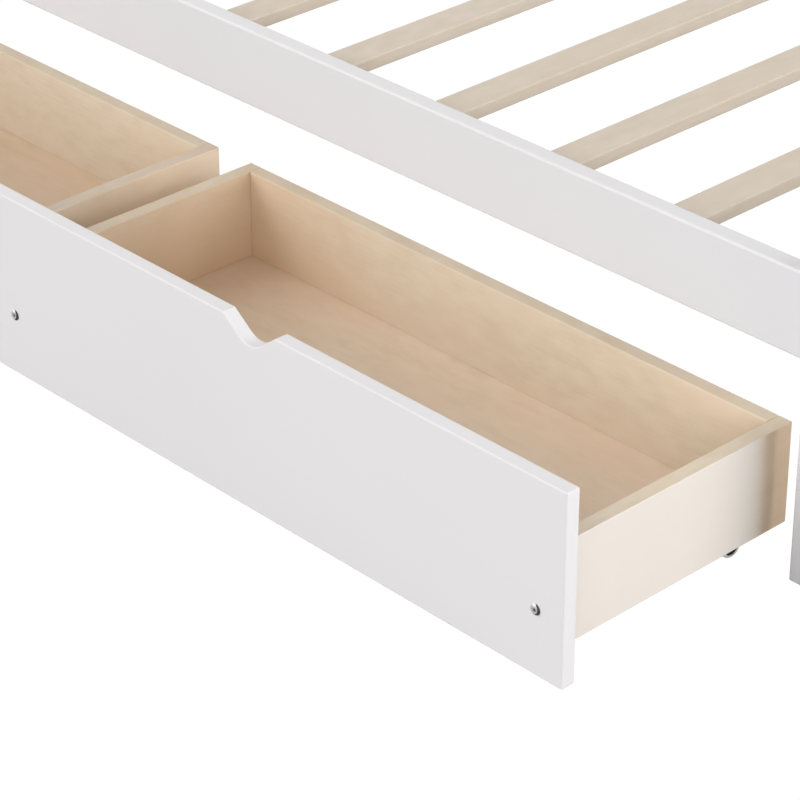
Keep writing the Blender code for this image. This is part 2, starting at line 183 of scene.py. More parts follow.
class Graph:
    """The nodes of one material."""

    def __init__(self, name: str) -> None:
        """Makes an empty material.

        Args:
            name: Its name.
        """
        self.material = bpy.data.materials.new(name)
        self.material.use_nodes = True
        self.tree = self.material.node_tree
        self.tree.nodes.clear()

    def node(
        self,
        kind: str,
        settings: dict[str, Any] | None = None,
        sockets: dict[Any, Any] | None = None,
    ) -> bpy.types.ShaderNode:
        """Adds a node.

        Args:
            kind: Its type, without the word ShaderNode.
            settings: Its own settings, which are set first.
            sockets: What its inputs hold or read, by name or number.

        Returns:
            The node.
        """
        made = self.tree.nodes.new(f"ShaderNode{kind}")
        for name, value in (settings or {}).items():
            setattr(made, name, value)
        for name, value in (sockets or {}).items():
            self.feed(made.inputs[name], value)
        return made

    def feed(self, entry: bpy.types.NodeSocket, value: Any) -> None:
        """Links an input to a socket, or sets it.

        Args:
            entry: The input.
            value: A Value, an output, a number, a colour or a vector.
        """
        if isinstance(value, Value):
            self.tree.links.new(value.socket, entry)
        elif isinstance(value, bpy.types.NodeSocket):
            self.tree.links.new(value, entry)
        elif entry.type == "RGBA":
            entry.default_value = (*value, 1.0)
        else:
            entry.default_value = value

    def math(self, operation: str, *numbers: Number) -> Value:
        """The result of one Math node."""
        sockets = dict(enumerate(numbers))
        return Value(self, self.node("Math", {"operation": operation}, sockets).outputs[0])

    def mix(self, share: Number, first: Any, second: Any) -> bpy.types.NodeSocket:
        """Mixes two colours or outputs, with the second's share from 0 to 1."""
        return self.node("Mix", {"data_type": "RGBA"}, {0: share, 6: first, 7: second}).outputs[2]

    def place(self) -> Place:
        """Where a point lies on the object at rest.

        Returns:
            Its X, Y and Z, in metres.
        """
        coordinates = self.node("TexCoord").outputs["Object"]
        parts = self.node("SeparateXYZ", sockets={0: coordinates})
        return tuple(Value(self, output) for output in parts.outputs)

    def length(self, first: Value, second: Value) -> Value:
        """How long the diagonal of two lengths is."""
        return self.math("SQRT", first * first + second * second)

    def facing(self, axis: Axis) -> Value:
        """Picks out the faces that look along an axis.

        Args:
            axis: The axis, either way along it.

        Returns:
            1 on them and 0 elsewhere, with a soft change on rounded edges.
        """
        normal = self.node("NewGeometry").outputs["True Normal"]
        settings = {"operation": "DOT_PRODUCT"}
        turned = self.node("VectorMath", settings, {0: normal, 1: tuple(axis.vector)})
        return Value(self, turned.outputs["Value"]).size().between(0.6, 0.9)

    def point(self, *parts: Number) -> bpy.types.NodeSocket:
        """A vector from three numbers."""
        return self.node("CombineXYZ", sockets=dict(enumerate(parts))).outputs[0]

    def noise(self, where: bpy.types.NodeSocket, scale: float, detail: float) -> Value:
        """Soft noise from 0 to 1, with scale lumps in a metre and detail finer layers."""
        sockets = {"Vector": where, "Scale": scale, "Detail": detail}
        return Value(self, self.node("TexNoise", sockets=sockets).outputs[0])

    def bump(self, height: Number, depth: float, strength: float) -> bpy.types.NodeSocket:
        """The normal bent by a relief from 0 to 1 that is so many metres deep."""
        sockets = {"Strength": strength, "Distance": depth, "Height": height}
        return self.node("Bump", sockets=sockets).outputs[0]

    def surface(self, **sockets: Any) -> bpy.types.Material:
        """Ends the graph in a Principled shader.

        Args:
            **sockets: Its inputs, with _ for a space.

        Returns:
            The finished material.
        """
        named = {name.replace("_", " "): value for name, value in sockets.items()}
        shader = self.node("BsdfPrincipled", sockets=named)
        output = self.node("OutputMaterial")
        self.tree.links.new(shader.outputs[0], output.inputs["Surface"])
        return self.material


# --- Where things are ---
@dataclass(frozen=True)
class Block:
    """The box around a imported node."""

    low: Vector
    high: Vector

    @classmethod
    def of(cls, node: str) -> "Block":
        """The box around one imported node."""
        return cls(*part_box(node))

    @property
    def centre(self) -> Vector:
        """Its middle."""
        return (self.low + self.high) / 2

    @property
    def size(self) -> Vector:
        """Its three sizes."""
        return self.high - self.low

    @property
    def grain(self) -> Axis:
        """The direction of its longest side, which a board's grain follows."""
        sizes = list(self.size)
        return Axis(sizes.index(max(sizes)))


# --- Finishes ---
@dataclass(frozen=True)
class WhitePaint:
    """Satin white paint, rolled on pine boards."""

    colour: Colour = (0.757, 0.742, 0.749)
    shade: Colour = (0.730, 0.715, 0.722)
    worn_and_highlight: Colour = (0.79, 0.79, 0.79)
    level: Colour = (0.825, 0.812, 0.812)  # painted light: the colour of faces that look up, made lighter to stand in for light from above
    roughness: float = 0.42
    arris: float = 0.0022  # how wide the lighter band on an arris is: partly worn paint, partly a painted highlight
    peel: float = 650.0  # lumps of the roller's texture in a metre
    streak: float = 190.0  # faint lines along the grain in a metre
    cloud: float = 2.3  # slow changes of tone in a metre

    def make(self, name: str, block: Block) -> bpy.types.Material:
        """Makes the finish for one board.

        Args:
            name: The material's name.
            block: The box around the board.

        Returns:
            The material.
        """
        graph = Graph(name)
        place = graph.place()
        along = place[block.grain.value]
        side, up = (place[index] for index in block.grain.across)
        point = graph.point(*place)
        streaks = graph.noise(graph.point(along * 0.03, side, up), self.streak, 3.0)
        cloud = graph.noise(point, self.cloud, 2.0)
        peel = graph.noise(point, self.peel, 1.0)
        # lighter arrises: partly worn paint and partly a painted highlight where light catches the
        # rounded edges
        worn_and_highlight = edge_of(place, block).between(self.arris, 0.0)
        tone = (cloud * 0.85 + streaks * 0.14 + 0.01).between(0.2, 0.8)
        colour = graph.mix(tone, self.shade, self.colour)
        colour = graph.mix(worn_and_highlight * 0.10, colour, self.worn_and_highlight)
        # painted light: faces that look up get the lighter level colour
        colour = graph.mix(graph.facing(Axis.Z) * 0.85, colour, self.level)
        relief = peel * 0.55 + streaks * 0.45
        return graph.surface(
            Base_Color=colour,
            Roughness=self.roughness + peel * 0.06 - worn_and_highlight * 0.10,
            Normal=graph.bump(relief, 0.00003, 0.4),
            Specular_IOR_Level=0.35,
        )


def edge_of(place: Place, block: Block) -> Value:
    """How far a point on a board is from its nearest arris.

    Args:
        place: The point.
        block: The box around the board.

    Returns:
        The distance, in metres.
    """
    insets = [
        half - (value - middle).size()
        for value, middle, half in zip(place, block.centre, block.size / 2)
    ]
    nearest = insets[0].smallest(insets[1]).smallest(insets[2])
    furthest = insets[0].largest(insets[1]).largest(insets[2])
    return insets[0] + insets[1] + insets[2] - nearest - furthest


@dataclass(frozen=True)
class PaintedSideLight:
    """Painted light on one face of a board, ending short of its far end, with painted shadow and
    shade past it.
    """

    outwards: int  # the sign of X that the painted face looks along
    # painted light: the pale tone of the face where the light falls on it
    colour: Colour = (0.745, 0.692, 0.640)
    shadow: Colour = (0.42, 0.33, 0.23)  # painted shadow along the end of the painted light
    end_shade: Colour = (0.60, 0.415, 0.265)  # painted shade past that, up to the board's end
    stop: float = 0.033  # from the board's end at +Y
    thin: float = 0.034  # over this length the painted light thins out
    fade: float = 0.018  # and over this one the painted shadow sets in
    clear: float = 0.013  # past the painted light, where the painted shadow ends

    def over(self, graph: Graph, place: Place, block: Block, under: Any) -> bpy.types.NodeSocket:
        """Paints the light, shadow and shade over a colour.

        Args:
            graph: The board's graph.
            place: The point on the board.
            block: The box around the board.
            under: The colour below it.

        Returns:
            The colour with the painted light, shadow and shade.
        """
        x, y, z = place
        half = block.size.x / 2
        face = ((x - block.centre.x) * self.outwards).between(half * 0.90, half * 0.97)
        end = block.high.y - self.stop
        # painted light over most of the face, then a blotchy painted shadow band, then painted shade
        # to the board's end
        lit_share = y.between(end + 0.004, end - self.thin)
        band = y.between(end - self.fade, end) * y.between(end + self.clear, end + 0.002)
        blotch = graph.noise(graph.point(0.0, y, z * 0.6), 34.0, 2.0)
        dark = band * (blotch * 0.7 + 0.15)
        end_tone = graph.mix((1.0 - lit_share) * face * 0.55, under, self.end_shade)
        lit_colour = graph.mix(face * lit_share * 0.92, end_tone, self.colour)
        return graph.mix(face * dark, lit_colour, self.shadow)


@dataclass(frozen=True)
class Pine:
    """Sanded pine under a thin matt lacquer, with its rings, fibres and end grain."""

    early: Colour = (0.760, 0.660, 0.520)
    late: Colour = (0.670, 0.545, 0.395)
    flush: Colour = (0.765, 0.620, 0.475)  # the pinker tone of some patches
    end_grain: Colour = (0.62, 0.50, 0.37)
    roughness: float = 0.52
    ring: float = 0.0065  # between two growth rings
    pith: tuple[float, float] = (0.11, 0.19)  # from the board's middle to the tree's
    contrast: float = 0.09  # of the rings
    sway: float = 5.5  # slow bends of the rings in a metre
    drift: float = 38.0  # their small bends in a metre
    fibre: float = 620.0  # fibres in a metre
    mottle: float = 62.0  # small blotches in a metre
    cloud: float = 7.0  # large ones in a metre
    patch: float = 11.0  # patches of the pinker tone in a metre
    face_darkening: float = 0.0  # how much darker the faces that look along darkened_axis are
    darkened_axis: Axis = Axis.X  # the axis that they look along
    corner_shade: Colour = (0.76, 0.545, 0.365)  # painted shade in the corners at the box's low X end
    shade_reach: float = 0.0  # how far from the board's low X end the painted shade reaches
    level: float = 0.85  # how much less painted shade there is on level faces

    def make(
        self, name: str, block: Block, seed: int, side_light: PaintedSideLight | None = None
    ) -> bpy.types.Material:
        """Makes the finish for one board.

        Args:
            name: The material's name.
            block: The box around the board.
            seed: A number that makes each board's figure its own.
            side_light: The painted light and shadow on one of its faces, if it has one.

        Returns:
            The material.
        """
        graph = Graph(name)
        place = graph.place()
        first, second = block.grain.across
        turn = math.radians(37 * seed % 360)
        along = place[block.grain.value] + 1.37 * seed
        side = place[first] + (self.pith[0] * math.cos(turn) - block.centre[first])
        up = place[second] + (self.pith[1] * math.sin(turn) - block.centre[second])
        sway = graph.noise(graph.point(along * 0.35, side, up), self.sway, 2.0)
        drift = graph.noise(graph.point(along * 0.12, side, up), self.drift, 2.0)
        fibre = graph.noise(graph.point(along * 0.018, side, up), self.fibre, 4.0)
        cloud = graph.noise(graph.point(along * 0.3, side, up), self.cloud, 2.0)
        patch = graph.noise(graph.point(along * 0.5, side + 3.1, up), self.patch, 3.0)
        mottle = graph.noise(graph.point(along * 0.4, side, up), self.mottle, 3.0)
        radius = graph.length(side, up) + (sway - 0.5) * 0.060
        ring = ((radius + (drift - 0.5) * 0.006) / self.ring).part()
        late = ring.between(0.10, 0.9) * ring.between(1.0, 0.86)
        figure = (fibre - 0.5) * 0.45 + (mottle - 0.5) * 1.35 + (cloud - 0.5) * 0.7
        tone = late * self.contrast * drift * 2.0 + figure + 0.34
        colour = graph.mix(tone.between(-0.1, 1.1), self.early, self.late)
        colour = graph.mix(patch.between(0.42, 0.68) * 0.55, colour, self.flush)
        end = graph.facing(block.grain)
        colour = graph.mix(end * 0.45, colour, self.end_grain)
        if self.face_darkening:
            colour = graph.mix(graph.facing(self.darkened_axis) * self.face_darkening, colour, BLACK)
        # painted shade: darker and more orange towards the board's low X end and towards its bottom,
        # less on faces that look up
        if self.shade_reach:
            inside = place[0] + (cloud - 0.5) * 0.12 - block.low.x
            upright = 1.0 - graph.facing(Axis.Z) * self.level
            height = (place[2] - block.low.z) / block.size.z
            share = inside.between(self.shade_reach, 0.0) * upright * (0.85 - height * 0.45)
            colour = graph.mix(share, colour, self.corner_shade)
        # painted light and shadow on one face
        if side_light:
            colour = side_light.over(graph, place, block, colour)
        relief = fibre * 0.7 + late * 0.3
        return graph.surface(
            Base_Color=colour,
            Roughness=self.roughness + (fibre - 0.5) * 0.25 + end * 0.12,
            Normal=graph.bump(relief, 0.00009, 0.55),
            Specular_IOR_Level=0.30,
        )


@dataclass(frozen=True)
class Metal:
    """Bare or plated steel, with fine scratches and slow changes of tone."""

    slot: Slot
    bright: Colour
    dull: Colour
    roughness: float
    scratch: float  # how much scratches roughen it
    spangle: float  # lumps of tone in a metre
    fine: float = 2400.0  # scratches in a metre

    def make(self, name: str) -> bpy.types.Material:
        """Makes the finish.

        Args:
            name: The material's name.

        Returns:
            The material.
        """
        graph = Graph(name)
        point = graph.point(*graph.place())
        tone = graph.noise(point, self.spangle, 3.0)
        scratch = graph.noise(point, self.fine, 2.0)
        return graph.surface(
            Base_Color=graph.mix(tone.between(0.35, 0.65), self.dull, self.bright),
            Metallic=1.0,
            Roughness=self.roughness + scratch * self.scratch,
            Normal=graph.bump(scratch, 0.00001, 0.25),
        )


ZINC = Metal(Slot.ZINC_STEEL, (0.66, 0.67, 0.69), (0.46, 0.47, 0.50), 0.26, 0.16, 420.0)


@dataclass(frozen=True)
class BrightHead:
    """Bright plate on a bolt along Y, with painted shade in its socket and a painted dark reflection
    on one side of its rim.
    """

    seat: Vector  # where the head rests
    head: float  # its radius
    socket: float  # the socket's radius
    slot: Slot = Slot.CHROMED_STEEL
    bright: Colour = (0.84, 0.84, 0.85)
    dull: Colour = (0.76, 0.76, 0.78)
    # painted shade and reflection: the colour of the socket and of the rim's dark side
    dark: Colour = (0.015, 0.015, 0.017)
    lit_centre: tuple[float, float] = (-0.30, 0.10)  # X and Z of the middle of the part left bright, in head radii
    roughness: float = 0.44
    spangle: float = 420.0  # lumps of tone in a metre
    fine: float = 2600.0  # scratches in a metre

    def make(self, name: str) -> bpy.types.Material:
        """Makes the finish.

        Args:
            name: The material's name.

        Returns:
            The material.
        """
        graph = Graph(name)
        place = graph.place()
        point = graph.point(*place)
        across, up = place[0] - self.seat.x, place[2] - self.seat.z
        tone = graph.noise(point, self.spangle, 3.0)
        scratch = graph.noise(point, self.fine, 2.0)
        # painted shade in the socket, and a painted dark reflection on the rim away from the bright
        # part
        socket_shade = graph.length(across, up).between(self.socket * 0.98, self.socket * 0.80)
        off = graph.length(across - self.lit_centre[0] * self.head, up - self.lit_centre[1] * self.head)
        painted_dark_rim = off.between(self.head * 0.84, self.head)
        shade = socket_shade.largest(painted_dark_rim)
        colour = graph.mix(tone.between(0.35, 0.65), self.dull, self.bright)
        return graph.surface(
            Base_Color=graph.mix(shade * 0.97, colour, self.dark),
            Metallic=1.0 - shade * 0.8,
            Roughness=self.roughness + scratch * 0.08,
            Coat_Weight=0.6 - shade * 0.5,
            Coat_Roughness=0.10,
            Normal=graph.bump(scratch, 0.00001, 0.2),
            Specular_IOR_Level=0.5,
        )


@dataclass(frozen=True)
class Moulded:
    """Moulded plastic or rubber, or thick black paint, with a fine grain and a little dust."""

    slot: Slot
    colour: Colour
    dust: Colour
    roughness: float
    grain: float = 3200.0  # lumps of the surface in a metre
    cloud: float = 150.0  # patches of dust in a metre

    def make(self, name: str) -> bpy.types.Material:
        """Makes the finish.

        Args:
            name: The material's name.

        Returns:
            The material.
        """
        graph = Graph(name)
        point = graph.point(*graph.place())
        grain = graph.noise(point, self.grain, 2.0)
        cloud = graph.noise(point, self.cloud, 3.0)
        return graph.surface(
            Base_Color=graph.mix(cloud.between(0.45, 0.8) * 0.5, self.colour, self.dust),
            Roughness=self.roughness + grain * 0.14,
            Normal=graph.bump(grain, 0.00003, 0.4),
        )


BLACK_HUB = Moulded(Slot.BLACK_STEEL, (0.012, 0.012, 0.013), (0.035, 0.034, 0.032), 0.34)
BLACK_PAINT = Moulded(Slot.BLACK_STEEL, (0.016, 0.016, 0.018), (0.040, 0.039, 0.037), 0.28)
GREY_TYRE = Moulded(Slot.GREY_RUBBER, (0.76, 0.76, 0.77), (0.80, 0.79, 0.78), 0.46)
Finish = Metal | BrightHead | Moulded


# --- Making meshes ---
SHARP = math.radians(32)  # edges that turn more than this stay sharp on turned and bent pieces
BEVELLED = math.radians(40)  # and edges that turn more than this are rounded on sheet metal


@dataclass(frozen=True)
class Ring:
    """One ring of a turned piece."""

    radius: float
    height: float
    drive: Drive | None = None


def new_object(name: str, data: bpy.types.ID) -> bpy.types.Object:
    """Makes an object and puts it in the scene.

    Args:
        name: Its name.
        data: Its mesh, lamp or camera.

    Returns:
        The object.
    """
    made = bpy.data.objects.new(name, data)
    bpy.context.scene.collection.objects.link(made)
    return made


def mesh_piece(name: str, shape: bmesh.types.BMesh, finish: Finish) -> bpy.types.Object:
    """Makes an object from a shape, smooth but for its sharp edges.

    Args:
        name: The piece's name.
        shape: Its shape, which is freed.
        finish: What it is made of.

    Returns:
        The object.
    """
    bmesh.ops.recalc_face_normals(shape, faces=shape.faces)
    mesh = bpy.data.meshes.new(name)
    shape.to_mesh(mesh)
    shape.free()
    mesh.shade_smooth()
    mesh.set_sharp_from_angle(angle=SHARP)
    mesh.materials.append(finish.make(f"{name}_finish"))
    piece = new_object(name, mesh)
    log.info("built %s", name)
    return piece


def add_turned(
    shape: bmesh.types.BMesh,
    rings: Sequence[Ring],
    steps: int,
    matrix: Matrix,
    closed: bool = False,
) -> None:
    """Adds a turned body about a matrix's Z axis.

    Args:
        shape: Gets the body.
        rings: From one end to the other.
        steps: How many sides it has.
        matrix: Where it stands.
        closed: True joins the last ring to the first, for a piece with a bore.
    """
    rows: list[list[bmesh.types.BMVert]] = []
    for ring in rings:
        if ring.radius == 0:
            rows.append([shape.verts.new(matrix @ Vector((0, 0, ring.height)))])
            continue
        row = []
        for step in range(steps):
            angle = 2 * math.pi * step / steps
            reach = ring.radius * (ring.drive.reach(angle) if ring.drive else 1.0)
            local = Vector((reach * math.cos(angle), reach * math.sin(angle), ring.height))
            row.append(shape.verts.new(matrix @ local))
        rows.append(row)
    pairs = list(zip(rows, rows[1:]))
    if closed:
        pairs.append((rows[-1], rows[0]))
    for first, second in pairs:
        for step in range(steps):
            after = (step + 1) % steps
            corners = [first[step % len(first)], first[after % len(first)]]
            corners += [second[after % len(second)], second[step % len(second)]]
            unique = list(dict.fromkeys(corners))
            shape.faces.new(unique)


def aim(place: Vector, direction: Vector) -> Matrix:
    """A matrix at a place, with its Z along a direction."""
    return Matrix.Translation(place) @ direction.to_track_quat("Z", "Y").to_matrix().to_4x4()


def soften(piece: bpy.types.Object, width: float) -> None:
    """Rounds a piece's sharp edges.

    Args:
        piece: The piece.
        width: How far the rounding reaches.
    """
    bevel = piece.modifiers.new("rounded", "BEVEL")
    bevel.width = width
    bevel.segments = 2
    bevel.limit_method = "ANGLE"
    bevel.angle_limit = BEVELLED
    bevel.harden_normals = True


# --- Fastenings ---
@dataclass(frozen=True)
class DomedBolt:
    """A bolt with a domed head and a hexagon socket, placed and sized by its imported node."""

    node: str
    axis: Axis  # that it lies along
    outwards: int  # the sign of the axis that its head faces
    rise: float
    shank: float  # radii of the shank and the socket
    socket: float
    depth: float
    lift: float = 0.0003  # of the head's underside over the wood
    turns: int = 9  # rings over the dome
    steps: int = 48

    @property
    def block(self) -> Block:
        """The box around its node."""
        return Block.of(self.node)

    @property
    def head(self) -> float:
        """The head's radius."""
        return self.block.size[self.axis.across[0]] / 2

    @property
    def seat(self) -> Vector:
        """Where the head rests.

        Returns:
            A point on the bolt's middle line.
        """
        end = self.block.high if self.outwards > 0 else self.block.low
        seat = self.block.centre
        seat[self.axis.value] = end[self.axis.value] - self.outwards * self.rise
        return seat

    def rings(self) -> list[Ring]:
        """The bolt's rings.

        Returns:
            The rings, from the socket's floor out over the dome and down to the tip.
        """
        floor = self.rise - self.depth
        start = math.asin(min(0.98, self.socket * 1.12 / self.head))
        rings = [
            Ring(0, floor - 0.25 * self.socket),
            Ring(self.socket * 0.92, floor, Drive.HEXAGON),
            Ring(self.socket, floor + 0.1 * self.depth, Drive.HEXAGON),
            Ring(self.socket, self.top(start) - 0.00022, Drive.HEXAGON),
            Ring(self.socket * 1.06, self.top(start) - 0.00005, Drive.HEXAGON),
        ]
        for turn in range(self.turns + 1):
            angle = start + (math.pi / 2 - start) * turn / self.turns
            rings.append(Ring(self.head * math.sin(angle), self.top(angle)))
        length = self.block.size[self.axis.value] - self.rise
        return rings + [
            Ring(self.head, self.lift + self.top(math.pi / 2) * 0.35),
            Ring(self.head * 0.97, self.lift),
            Ring(self.shank * 1.15, self.lift),
            Ring(self.shank, self.lift - 0.0004),
            Ring(self.shank, self.shank * 0.6 - length),
            Ring(self.shank * 0.6, -length),
            Ring(0, -length),
        ]

    def top(self, angle: float) -> float:
        """The dome's height at an angle from its middle."""
        rim = self.rise * 0.16
        return rim + (self.rise - rim) * math.cos(angle)

    def build(self, finish: Finish, body: str) -> None:
        """Puts the bolt in its node's place.

        Args:
            finish: What it is made of.
            body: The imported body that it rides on.
        """
        shape = bmesh.new()
        towards = self.axis.vector * self.outwards
        add_turned(shape, self.rings(), self.steps, aim(self.seat, towards))
        piece = mesh_piece(f"{self.node}_domed", shape, finish)
        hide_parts(self.node)
        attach(piece, body)


@dataclass(frozen=True)
class WoodScrew:
    """A small pan-head screw with a cross recess."""

    head: float = 0.0030
    rise: float = 0.0013
    shank: float = 0.0013
    length: float = 0.009
    steps: int = 32

    def add(self, shape: bmesh.types.BMesh, seat: Vector, outwards: Vector) -> None:
        """Adds the screw to a shape.

        Args:
            shape: Gets the screw.
            seat: Where its head rests.
            outwards: The way its head faces.
        """
        recess = self.head * 0.55
        rings = [
            Ring(0, self.rise * 0.1),
            Ring(recess * 0.45, self.rise * 0.2, Drive.CROSS),
            Ring(recess, self.rise * 0.95, Drive.CROSS),
            Ring(recess * 1.12, self.rise),
            Ring(self.head * 0.86, self.rise * 0.82),
            Ring(self.head, self.rise * 0.45),
            Ring(self.head, 0.0001),
            Ring(self.shank, 0.0001),
            Ring(self.shank, -self.length * 0.7),
            Ring(0, -self.length),
        ]
        add_turned(shape, rings, self.steps, aim(seat, outwards))


@dataclass(frozen=True)
class BarrelNut:
    """The round end of a cross nut in a rail, with its slot, where a bed bolt screws in."""

    radius: float = 0.0050
    proud: float = 0.0004
    inset: float = 0.032  # from the rail's end

    def build(self, name: str, seat: Vector, outwards: Vector) -> bpy.types.Object:
        """Makes the nut's visible end.

        Args:
            name: The piece's name.
            seat: Its middle, on the rail's face.
            outwards: The way it faces.

        Returns:
            The object.
        """
        shape = bmesh.new()
        rings = [
            Ring(0, -0.0006),
            Ring(self.radius * 0.2, -0.0006),
            Ring(self.radius * 0.24, self.proud * 0.6),
            Ring(self.radius * 0.32, self.proud),
            Ring(self.radius * 0.9, self.proud),
            Ring(self.radius, self.proud * 0.5),
            Ring(self.radius, -0.0020),
            Ring(0, -0.0020),
        ]
        add_turned(shape, rings, 40, aim(seat, outwards))
        return mesh_piece(name, shape, ZINC)


# --- The frame ---
def dress(node: str, material: bpy.types.Material) -> None:
    """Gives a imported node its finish.

    Args:
        node: The node.
        material: Its finish.
    """
    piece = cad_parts[node]
    piece.data.materials.clear()
    piece.data.materials.append(material)
    log.info("dressed %s", node)


@dataclass
class PaintedFrame:
    """Posts, side rails, end rails and headboard, all painted."""

    # painted shade: a darker, cooler copy of the drawers' white paint, offsetting the frame's extra
    # light and the warm bounce from the pine
    paint: WhitePaint = WhitePaint((0.722, 0.718, 0.738), (0.698, 0.694, 0.714))
    boards: int = 3  # of the headboard

    def nodes(self) -> list[str]:
        """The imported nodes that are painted.

        Returns:
            Their names.
        """
        posts = [f"{end}_post_{side}" for end in ("head", "foot") for side in ("front", "back")]
        rails = ["side_rail_front", "side_rail_back", "head_rail", "foot_rail", "headboard_cap"]
        return posts + rails + [f"headboard_board_{index + 1}" for index in range(self.boards)]

    def build(self) -> None:
        """Paints every board of the frame."""
        for node in self.nodes():
            dress(node, self.paint.make(f"{node}_paint", Block.of(node)))


@dataclass
class BedBolts:
    """The four sunk bolts that hold the side rails, and their barrel nuts."""

    rise: float = 0.0050
    shank: float = 0.0040
    socket: float = 0.0035
    depth: float = 0.0030
    nut: BarrelNut = BarrelNut()

    def build(self) -> None:
        """Replaces each packed bolt, and sets a nut in each rail's end."""
        for end, outwards in (("head", -1), ("foot", 1)):
            for side, inwards in (("front", 1), ("back", -1)):
                node = f"bed_bolt_{end}_{side}"
                bolt = DomedBolt(
                    node, Axis.X, outwards, self.rise, self.shank, self.socket, self.depth
                )
                bolt.build(ZINC, "frame")
                self.add_nut(end, side, outwards, inwards)

    def add_nut(self, end: str, side: str, outwards: int, inwards: int) -> None:
        """Sets a barrel nut in the inner face of a side rail.

        Args:
            end: "head" or "foot".
            side: "front" or "back".
            outwards: The sign of X towards that end.
            inwards: The sign of Y towards the bed's middle.
        """
        rail = Block.of(f"side_rail_{side}")
        x = (rail.high.x if outwards > 0 else rail.low.x) - outwards * self.nut.inset
        y = rail.high.y if inwards > 0 else rail.low.y
        bolt = Block.of(f"bed_bolt_{end}_{side}")
        seat = Vector((x, y, bolt.centre.z))
        nut = self.nut.build(f"barrel_nut_{end}_{side}", seat, Vector((0, inwards, 0)))
        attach(nut, "frame")


@dataclass
class SlatDeck:
    """The slats, the ledgers that carry them, and their screws."""

    pine: Pine = Pine(
        (0.715, 0.635, 0.535),
        (0.640, 0.545, 0.430),
        (0.700, 0.600, 0.490),
        end_grain=(0.60, 0.49, 0.37),
        face_darkening=0.13,
    )
    count: int = 11
    first_seed: int = 3
    slat_screw_inset: float = 0.012  # from a slat's end
    ledger_screws: int = 9
    screw: WoodScrew = WoodScrew()

    def build(self) -> None:
        """Dresses the slats and ledgers and adds their screws."""
        slats = [f"slat_{index + 1:02d}" for index in range(self.count)]
        ledgers = ["slat_ledger_front", "slat_ledger_back"]
        for seed, node in enumerate([*slats, *ledgers], self.first_seed):
            material = self.pine.make(f"{node}_pine", Block.of(node), seed)
            dress(node, material)
        for node in slats:
            self.add_slat_screws(node)
        for node, inwards in zip(ledgers, (1, -1)):
            self.add_ledger_screws(node, inwards)

    def add_screws(self, node: str, seats: Sequence[Vector], outwards: Vector) -> None:
        """Adds a board's screws.

        Args:
            node: The board.
            seats: Where their heads rest.
            outwards: The way that they face.
        """
        shape = bmesh.new()
        for seat in seats:
            self.screw.add(shape, seat, outwards)
        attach(mesh_piece(f"{node}_screws", shape, ZINC), "frame")

    def add_slat_screws(self, node: str) -> None:
        """Adds a screw near each end of a slat.

        Args:
            node: The slat.
        """
        block = Block.of(node)
        ends = (block.low.y + self.slat_screw_inset, block.high.y - self.slat_screw_inset)
        self.add_screws(node, [Vector((block.centre.x, y, block.high.z)) for y in ends], UP)

    def add_ledger_screws(self, node: str, inwards: int) -> None:
        """Adds the row of screws that holds a ledger to its rail.

        Args:
            node: The ledger.
            inwards: The sign of Y towards the bed's middle.
        """
        block = Block.of(node)
        face = block.high.y if inwards > 0 else block.low.y
        pitch = block.size.x / self.ledger_screws
        row = [block.low.x + pitch * (index + 0.5) for index in range(self.ledger_screws)]
        seats = [Vector((x, face, block.centre.z)) for x in row]
        self.add_screws(node, seats, Vector((0, inwards, 0)))


